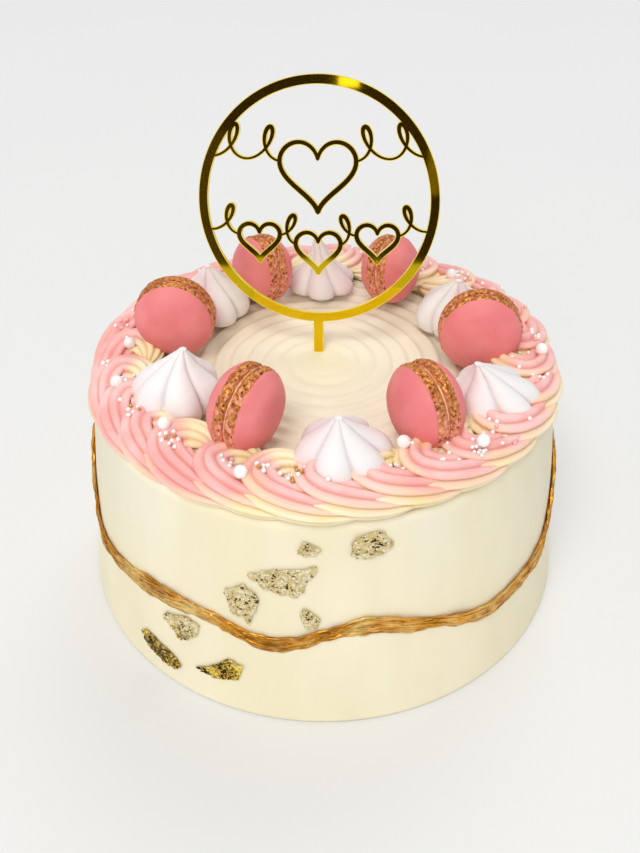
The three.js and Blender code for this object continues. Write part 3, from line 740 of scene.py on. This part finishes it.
# %% Meringue material: dry white, a breath of pink, and painted grey shade in the valleys between the lobes
def meringue_finish():
    f = Finish("meringue", Roughness=0.5, Specular_IOR_Level=0.35)
    blush = f.smooth(f.noise(f.spot, 36.0, 2), 0.46, 0.64)
    white = f.mix(blush * 0.5, colour(242, 239, 237), colour(243, 219, 222))
    # The valleys between the lobes are coloured grey: painted shade.
    valley = f.smooth(f.carried("lobe"), 0.28, 0.0)
    f.feed("Base Color", f.mix(valley * 0.7, white, colour(222, 214, 218)))
    f.bump(f.noise(f.spot, 240.0, 3), 0.12, 0.3)
    return f.material


kiss_white = meringue_finish()

# %% Pipe six kisses
# name, place of the base, place of the tip over it, half width, turn
MERINGUES = [
    ["front", (7.0, -71.0), (4.8, -77.0), 18.6, 20], ["left", (-59.5, -32.0), (-54.5, -33.5), 18.6, 52],
    ["back_left", (-51.0, 38.5), (-51.3, 32.5), 16.6, 0], ["back", (-0.5, 63.5), (-3.0, 60.5), 16.2, 30],
    ["back_right", (59.5, 27.5), (58.6, 18.5), 17.4, 14], ["right", (68.5, -37.0), (57.5, -44.5), 18.6, 8]]
KISS_FOOT = 103.2    # a little over the icing, since each kiss leans on the border
# outlines as parts of the half width and of the height
ONION = curve_through([
    [0.78, 0.0], [0.93, 0.07], [1.0, 0.2], [0.97, 0.33], [0.84, 0.47], [0.61, 0.61], [0.39, 0.74],
    [0.22, 0.86], [0.11, 0.94], [0.075, 0.98], [0, 1.0]], 44)
SPIKE = curve_through([
    [0.8, 0.0], [0.97, 0.05], [1.0, 0.14], [0.82, 0.26], [0.58, 0.4], [0.39, 0.55], [0.26, 0.7],
    [0.17, 0.84], [0.1, 0.94], [0.07, 0.985], [0, 1.0]], 44)

for k, (name, at, tip, half, turn) in enumerate(MERINGUES):
    outline = [[0, 0], [0.4, 0], [0.7, 0]] + (SPIKE if name == "back" else ONION)
    body = turned(f"kiss_{name}", outline, 216, kiss_white)
    pull = ((tip[0] - at[0]) * MM, (tip[1] - at[1]) * MM, 0.0)
    foot = (at[0] * MM, at[1] * MM, KISS_FOOT * MM)
    kiss = run(body, lobes, {"Half width": half * MM, "Turn": radians(turn), "Pull": pull, "Foot": foot,
                             "Material": kiss_white}, f"kiss_{name}")
    place(kiss, f"meringue_{name}")

# %% [markdown]
# The painted band
#
# Metallic paint was laid on with a stiff brush, so the band is a few torn strands that part and join again.
# The strands are ropes too: the same tree sweeps them, flatter and with a rougher surface.

# %% Material of the painted band, whose brushed tones also paint glints and shade
def paint_finish():
    f = Finish("gold paint", Metallic=0.8, Roughness=0.36)
    x, y, z = f.split(f.spot)
    brushed = f.vector(x * 70.0, y * 70.0, z * 60.0 + f.carried("upper") * 7.0)
    brushed = f.noise(brushed, 1.0, 4, 0.65)
    patch = f.noise(f.spot, 60.0, 3)
    # The brush streaks are real. Their light tone is also a painted glint on the strands, and their deep tone
    # is darker paint and partly painted shade in the gaps.
    deep = f.blend(patch, 0.35, 0.65, (132, 64, 0), (194, 112, 12))
    light = f.blend(patch, 0.4, 0.65, (238, 168, 44), (255, 224, 136))
    f.feed("Base Color", f.mix(f.smooth(brushed, 0.36, 0.58), deep, light))
    f.feed("Roughness", 0.2 + brushed * 0.26)
    f.bump(f.noise(f.spot, 900.0, 3), 0.2, 0.6)
    return f.material


gold_paint = paint_finish()

# %% Brush the strands round the side
# azimuth and height
BAND_PATH = [[-175, 66], [-164, 56], [-156, 43], [-148, 42.5], [-140, 45], [-131, 47.2], [-119, 48.8],
             [-112, 46.8], [-103, 42.4], [-97, 43.6], [-89, 49.7], [-80, 52.3], [-71, 48], [-62, 42.6],
             [-51, 37.2], [-40, 38.4], [-30, 39.5], [-23, 46], [-15, 58], [0, 66], [35, 59], [70, 62],
             [105, 57], [140, 61]]


def band_height(azimuth):
    """Height of the band's middle, smooth between the rows of its path."""
    rows = BAND_PATH + [[a + 360, z] for a, z in BAND_PATH[:2]]
    rows = [[BAND_PATH[-1][0] - 360, BAND_PATH[-1][1]]] + rows
    k = max(i for i in range(1, len(rows) - 2) if rows[i][0] <= azimuth)
    f = (azimuth - rows[k][0]) / (rows[k + 1][0] - rows[k][0])
    return between(*[z for _, z in rows[k - 1:k + 3]], f)


def wobble(azimuth, k):
    """A slow swing round the cake, different for each strand k, that meets itself after a full turn."""
    return sum(sin(radians(azimuth * n) + 7 * chance(n, k)) / (1 + 0.12 * n) for n in (3, 7, 13, 22)) / 2.2


chains, halves = [], []
for k, (up, wide) in enumerate([[2.1, 1.9], [-1.9, 2.0], [0.5, 1.7], [-0.4, 1.5]]):
    turns = [-175 + 360 * i / 480 for i in range(480)]
    chains.append([on_circle(a, side_radius(band_height(a)) + 0.35 + 0.25 * wobble(a, k + 60),
                             band_height(a) + up + 1.7 * wobble(a, k + 40)) for a in turns])
    halves.append([(wide + 0.9 * wobble(5 * a, k + 50)) * MM for a in turns])
strands = lines("band_lines", chains, closed=True, half=halves)
band = run(strands, rope, {
    "Ridges": 5, "Groove": 0.12, "Points": 26, "Stations": 900, "Breadth": 0.36, "Height": 1.0,
    "Shake": 2.4 * MM, "Lumps": 120.0, "Fibres": 4.0, "Material": gold_paint}, "painted_band")
place(band, "gold_band")

# %% [markdown]
# Gold leaf
#
# Leaf is thinner than paper: it tears into ragged flakes and wrinkles where it is pressed on. Each flake is
# a disc pulled out to a torn outline, folded by a ridged noise and bent round the side. Sample Curve finds
# the point of the outline for each direction. A Solidify modifier then closes the flake into a thin body.

# %% A tree that tears and presses one flake
def flake_tree():
    tree, wires = new_tree("torn flake", {
        "Azimuth": ("Float", 0.0), "Height": ("Float", 0.05), "Seed": ("Float", 0.0)})
    grid = tree.shape("MeshGrid", {
        "Size X": 2.0, "Size Y": 2.0, "Vertices X": 66, "Vertices Y": 46})
    x, y, _ = tree.split(tree.position())
    u = x * (1 - y * y * 0.5) ** 0.5
    v = y * (1 - x * x * 0.5) ** 0.5
    rim = (u * u + v * v) ** 0.5
    outline = tree.shape("MeshToCurve", {"Mesh": wires["Geometry"]})
    torn = tree.shape("SampleCurve", {
        "Curves": outline, "Factor": tree.maths("ARCTAN2", v, u) / (2 * pi) + 0.5}, "Position", mode="FACTOR")
    side, rise, _ = tree.split(torn)
    side, rise = side * rim, rise * rim
    at = tree.vector(side, rise, wires["Seed"])
    fold = abs(tree.noise(at, 300.0, 3, 0.6) - 0.5) * 2
    lifted = tree.smooth(rim, 0.75, 1.0) * (tree.noise(at, 320.0) - 0.45) * 1.2
    proud = (0.3 + fold * 1.7 + lifted) * MM
    height = wires["Height"] + rise
    reach = BASE_RADIUS * MM - height * TAPER
    turn = wires["Azimuth"] + side / reach
    reach = reach + proud
    wrapped = tree.moved(grid, Position=tree.around(reach, turn, height))
    return end_tree(tree, wrapped, wires)

# %% Material of the leaf, with painted shade in its creases and painted highlights on its facets
def leaf_finish():
    f = Finish("gold leaf", Metallic=0.75, Roughness=0.33)
    crease = f.noise(f.spot, 240.0, 3, 0.6)
    facet_shade_and_glint = f.node("ShaderNodeTexVoronoi", None, {"Vector": f.spot, "Scale": 1400.0}).also("Color")
    facet_shade_and_glint = f.split(facet_shade_and_glint)[0] + (crease - 0.5) * 1.6
    x, _, z = f.split(f.spot)
    low = f.smooth(z + x * 0.12, 0.03, 0.02)
    # Dark in the creases is painted shade, and the near-white facets are painted highlights.
    pale = f.blend(facet_shade_and_glint, 0.0, 0.24, (74, 58, 30), (224, 202, 142))
    pale = f.mix(f.smooth(facet_shade_and_glint, 0.6, 0.95), pale, colour(250, 243, 214))
    shaded = facet_shade_and_glint + (f.noise(f.spot, 130.0, 1) - 0.5) * 2.4
    # On the low flakes too: dark is painted shade and bright yellow is a painted glint.
    deep = f.blend(shaded, 0.2, 0.6, (44, 28, 6), (206, 166, 44))
    deep = f.mix(f.smooth(shaded, 0.75, 1.0), deep, colour(250, 230, 120))
    f.feed("Base Color", f.mix(low, pale, deep))
    f.bump(crease, 0.4, 0.8)
    return f.material


gold_leaf = leaf_finish()

# %% Press the flakes on
# azimuth and height of the middle, then the corners round it, from the left by way of the bottom
FLAKES = [
    [-93.3, 90.5, [[-4.5, -2.5], [-2, -3.5], [2.5, -3], [4.5, 0], [-2, 3.5], [-3, 1]]],
    [-80.4, 91.5, [[-8, -4], [-5.5, -6], [-2, -6.5], [7, -3.5], [8, -0.5], [5, 4], [2.5, 5.5], [-6, 4]]],
    [-99, 75, [[-13, 0.5], [-7.5, -5], [-1.5, -6.5], [5, -7.5], [8.5, -4.5], [13, 7.5], [2, 5], [-3, 4.5]]],
    [-107.6, 59.5, [[-7, 3], [-4.5, -5.5], [0.5, -6], [3, -10], [7, 3.5], [4, 8.5], [0, 10], [-7, 6]]],
    [-93.1, 57, [[-4, 1.5], [-1.5, -5], [2.5, -4.5], [4, 0], [0, 4], [-2.5, 5]]],
    [-122.8, 35, [[-9.5, 0.5], [-5.5, -2.5], [0, -7.5], [8, -0.5], [9.5, 5], [4.5, 7.5], [-7.5, 4]]],
    [-129, 14.5, [[-12, 2], [-8.5, -3], [2.5, -6], [8.5, -6], [12, -1.5], [8.5, 1.5], [1.5, 3.5], [-8.5, 6]]],
    [-113.1, 22, [[-11, -5], [-6, -6.5], [1, -6], [9, -3], [11, 4.5], [4, 6.5], [-0.5, 2], [-6, -2.5]]]]


def torn_outline(k, corners):
    """The straight tears between the corners, with small teeth."""
    points = []
    for c, (here, there) in enumerate(zip(corners, corners[1:] + corners[:1])):
        for step in range(5):
            tooth = 1 + (0.2 * (chance(9 * k + c, step) - 0.5) if step else 0)
            points.append([(a + (b - a) * step / 5) * tooth for a, b in zip(here, there)] + [0])
    return points


flake = flake_tree()
flakes = []
for k, (azimuth, height, corners) in enumerate(FLAKES):
    source = lines(f"flake_{k}", [torn_outline(k, corners)], closed=True)
    flakes.append(run(source, flake, {
        "Azimuth": radians(azimuth), "Height": height * MM, "Seed": 1.7 * k,
        "Material": gold_leaf}, f"flake_{k}"))
leaf = join("gold_leaf", flakes)
solid = leaf.modifiers.new("thickness", "SOLIDIFY")
solid.thickness, solid.offset = 0.12 * MM, -1.0
place(leaf, "cake")

# %% [markdown]
# The topper
#
# It is cut by laser from one sheet of gold mirror acrylic: a ring on a stake, with hearts and pen curls
# inside. Drawn flat, each is a pen stroke along a line, so one tree sweeps them all with a square pen,
# presses them to the thickness of the sheet and joins them with a Boolean, which leaves no wall inside.
# Python works out the lines, because each has its own formula. The tree runs twice: once for the sheet, and
# once with a narrower pen for the mirror film, because the laser burns the film back from the cut edges.

# %% A tree that cuts pen strokes out of one sheet
def sheet_tree():
    tree, wires = new_tree("strokes cut from a sheet", {"Sheet": ("Float", 2 * MM), "Trim": ("Float", 0.0)})
    curve = tree.shape("MeshToCurve", {"Mesh": wires["Geometry"]})
    curve = tree.shape("SetCurveNormal", {"Curve": curve}, mode="Z_UP")
    pen = tree.shape("CurvePrimitiveQuadrilateral", {"Width": 2.0, "Height": 2.0})
    half = tree.named("half") - wires["Trim"]
    strokes = tree.shape("CurveToMesh", {
        "Curve": curve, "Profile Curve": pen, "Scale": half, "Fill Caps": True})
    x, y, z = tree.split(tree.position())
    strokes = tree.moved(strokes, Position=tree.vector(x, y, tree.maths("SIGN", z) * wires["Sheet"] / 2))
    joined = tree.shape("MeshBoolean", {
        "Mesh": strokes, "Self Intersection": True}, operation="UNION", solver="EXACT")
    return end_tree(tree, joined, wires)


sheet = sheet_tree()

# %% Material of the topper
def mirror_finish():
    f = Finish("gold mirror film", Metallic=1.0, Roughness=0.05)
    scratch = f.noise(f.spot, 70.0, 2)
    f.feed("Base Color", f.blend(scratch, 0.3, 0.7, (240, 200, 18), (248, 214, 34)))
    f.feed("Roughness", 0.02 + scratch * 0.04)
    return f.material


def acrylic_finish():
    f = Finish("yellow acrylic", Roughness=0.25, Coat_Weight=0.5)
    cloud = f.noise(f.spot, 120.0, 2)
    f.feed("Base Color", f.blend(cloud, 0.3, 0.7, (226, 196, 40), (244, 222, 84)))
    return f.material


gold_mirror, yellow_acrylic = mirror_finish(), acrylic_finish()

# %% Draw the ring, the stake, the hearts and the curls
RING_RADIUS = 50.55
STROKE = 4.0
RING_CENTRE = 14.5 + RING_RADIUS - 1    # along the stake, from the icing
# middle of each heart from the ring's centre, and size
HEARTS = [[0, 13, 15.5], [-25, -15, 8.6], [0, -19, 9.4], [25, -15, 8.6]]
# the curls of the left half, each drawn again as its mirror image: start, end, loops, width, height
CURLS = [[(-44, 19), (-15, 17), 2, 4.6, 13], [(-45.5, -11), (-33, -13), 1, 4.0, 11],
         [(-16.8, -13), (-9, -17), 1, 3.4, 10]]
SLANT = 0.22


def heart(x, y, size):
    points = []
    for k in range(96):
        a = 2 * pi * k / 96
        up = (13 * cos(a) - 5 * cos(2 * a) - 2 * cos(3 * a) - cos(4 * a)) / 16
        points.append((x + size * (sin(a) ** 3 + 0.02 * sin(a)), RING_CENTRE + y + size * up, 0))
    return points, [(0.95 + 0.35 * sin(pi * k / 96)) * MM for k in range(96)]


def curl(mirror, start, stop, loops, wide, tall):
    points, halves = [], []
    for k in range(60 * loops + 1):
        t = k / (60 * loops)
        turn = 2 * pi * loops * t
        up = tall * (1 - cos(turn)) / 2
        across = start[0] + (stop[0] - start[0]) * t + wide * sin(turn) + SLANT * up
        points.append((mirror * across, RING_CENTRE + start[1] + (stop[1] - start[1]) * t + up, 0))
        halves.append((0.7 + 0.45 * sin(pi * loops * t) ** 2) * MM)
    return points, halves


middle = RING_RADIUS - STROKE / 2
ring = [(middle * cos(2 * pi * k / 180), RING_CENTRE + middle * sin(2 * pi * k / 180), 0) for k in range(180)]
loops = [(ring, [STROKE / 2 * MM] * 180)] + [heart(*row) for row in HEARTS]
opened = [([(0, -46, 0), (0, 15.5, 0)], [2.1 * MM] * 2)]
opened += [curl(mirror, *row) for row in CURLS for mirror in (1, -1)]
upright = (Matrix.Translation((-2.1 * MM, 9.1 * MM, HEIGHT * MM)) @ Matrix.Rotation(radians(-6.5), 4, "Z")
           @ Matrix.Rotation(radians(90 - 16.5), 4, "X") @ Matrix.Rotation(radians(1.9), 4, "Z"))


def cut_sheet(name, thickness, trim, material):
    round_lines = lines("closed_strokes", [p for p, _ in loops], closed=True, half=[h for _, h in loops])
    open_lines = lines("open_strokes", [p for p, _ in opened], half=[h for _, h in opened])
    strokes = join("strokes", [round_lines, open_lines])
    made = run(strokes, sheet, {"Sheet": thickness * MM, "Trim": trim * MM, "Material": material}, name)
    made.data.transform(upright)
    place(made, "topper")
    made.data.set_sharp_from_angle(angle=radians(30))
    return made


acrylic = cut_sheet("topper_sheet", 2.0, 0.0, yellow_acrylic)
film = cut_sheet("topper_mirror", 2.06, 0.28, gold_mirror)

# %% [markdown]
# Floor, light and camera
#
# A plain pale floor and soft light from large lamps, as in a photo studio. The camera stands where the
# photographer stood, above the front of the cake. A mirror shows what stands before it, so cards that only
# mirrors see paint the reflections in the gold ring. A large dark card far in front paints its upper half
# dark, and three strips before that card paint a glowing glint, a soft sheen and a brown patch in it. A small
# pale card before the stake glows a little and paints a pale reflection that keeps the pink of the front
# toppings out of the gold.

# %% A plain floor and a pale room
def plane(name, size, centre, turn=(0, 0, 0)):
    mesh = bpy.data.meshes.new(name)
    w, h = size[0] / 2, size[1] / 2
    mesh.from_pydata([(-w, -h, 0), (w, -h, 0), (w, h, 0), (-w, h, 0)], [], [(0, 1, 2, 3)])
    mesh.transform(Matrix.LocRotScale(Vector(centre), Matrix.Rotation(turn[2], 3, "Z")
                                      @ Matrix.Rotation(turn[0], 3, "X"), None))
    return linked(name, mesh)


floor = plane("floor", (8, 8), (0, 0, -0.0004))
paper = Finish("studio paper", Roughness=0.8)
grain = paper.noise(paper.spot, 3.0)
paper.feed("Base Color", paper.mix(grain, colour(228, 228, 227), colour(232, 232, 231)))
floor.data.materials.append(paper.material)


def card(name, size, centre, low, high, glow=0.0):
    """A card that stands across the front and that only mirrors can see: a painted reflection, which shines
    with glow though it is no lamp.
    """
    made = plane(name, size, centre, (radians(90), 0, 0))
    paint = Finish(name, Roughness=0.9, Emission_Strength=glow)
    shade = paint.mix(paint.noise(paint.spot, 4.0), low, high)
    paint.feed("Base Color", shade)
    paint.feed("Emission Color", shade)
    made.data.materials.append(paint.material)
    made.visible_camera = made.visible_diffuse = made.visible_shadow = False


card("dark_card", (2.2, 0.96), (0, -1.6, 0.755), (0.008, 0.0042, 0.004, 1), (0.038, 0.019, 0.018, 1))
white = colour(246, 246, 240)
card("bright_strip", (0.046, 0.026), (-0.306, -1.58, 0.657), white, white, 1.0)
card("soft_strip", (0.03, 0.1), (-0.108, -1.58, 0.47), (0.1, 0.07, 0.05, 1), (0.3, 0.24, 0.2, 1))
card("brown_strip", (0.16, 0.3), (-0.6, -1.58, 0.4), (0.035, 0.026, 0.03, 1), (0.085, 0.06, 0.07, 1))
card("pale_card", (0.07, 0.03), (-0.002, -0.006, 0.1175), white, white, 0.12)

world = bpy.data.worlds.new("room")
world.use_nodes = True
world.node_tree.nodes["Background"].inputs["Color"].default_value = colour(244, 245, 247)
world.node_tree.nodes["Background"].inputs["Strength"].default_value = 0.65
bpy.context.scene.world = world
bpy.context.scene.view_settings.view_transform = "Standard"

# %% Soft lamps
def lamp(name, at, aim, size, watts, tint=(1, 1, 1)):
    data = bpy.data.lights.new(name, "AREA")
    data.shape, data.size, data.energy, data.color = "DISK", size, watts, tint
    made = linked(name, data)
    made.location = at
    made.rotation_euler = (Vector(aim) - Vector(at)).to_track_quat("-Z", "Y").to_euler()
    return made


lamp("key", (-1.1, -2.4, 4.6), (0, 0, 0.05), 2.4, 111, (1, 0.985, 0.96))
lamp("back", (0.8, 2.6, 3.6), (0, 0, 0.08), 2.4, 34)
front = lamp("front", (-0.6, -3.6, 1.7), (0, 0, 0.08), 2.2, 25)
front.visible_glossy = False

# %% The camera, at the photograph's viewing angle
CAMERA_AT = Vector((-1.7, -323.9, 325.7)) * MM
forward = Vector((0.0, 0.7801, -0.6256)).normalized()
right = Vector((1.0, -0.0023, -0.0029)).normalized()
up = right.cross(forward).normalized()
lens = bpy.data.cameras.new("camera")
lens.lens, lens.sensor_width, lens.clip_start = 37.98, 36, 0.01
camera = linked("camera", lens)
camera.matrix_world = Matrix((
    (right.x, up.x, -forward.x, CAMERA_AT.x), (right.y, up.y, -forward.y, CAMERA_AT.y),
    (right.z, up.z, -forward.z, CAMERA_AT.z), (0, 0, 0, 1)))
bpy.context.scene.camera = camera
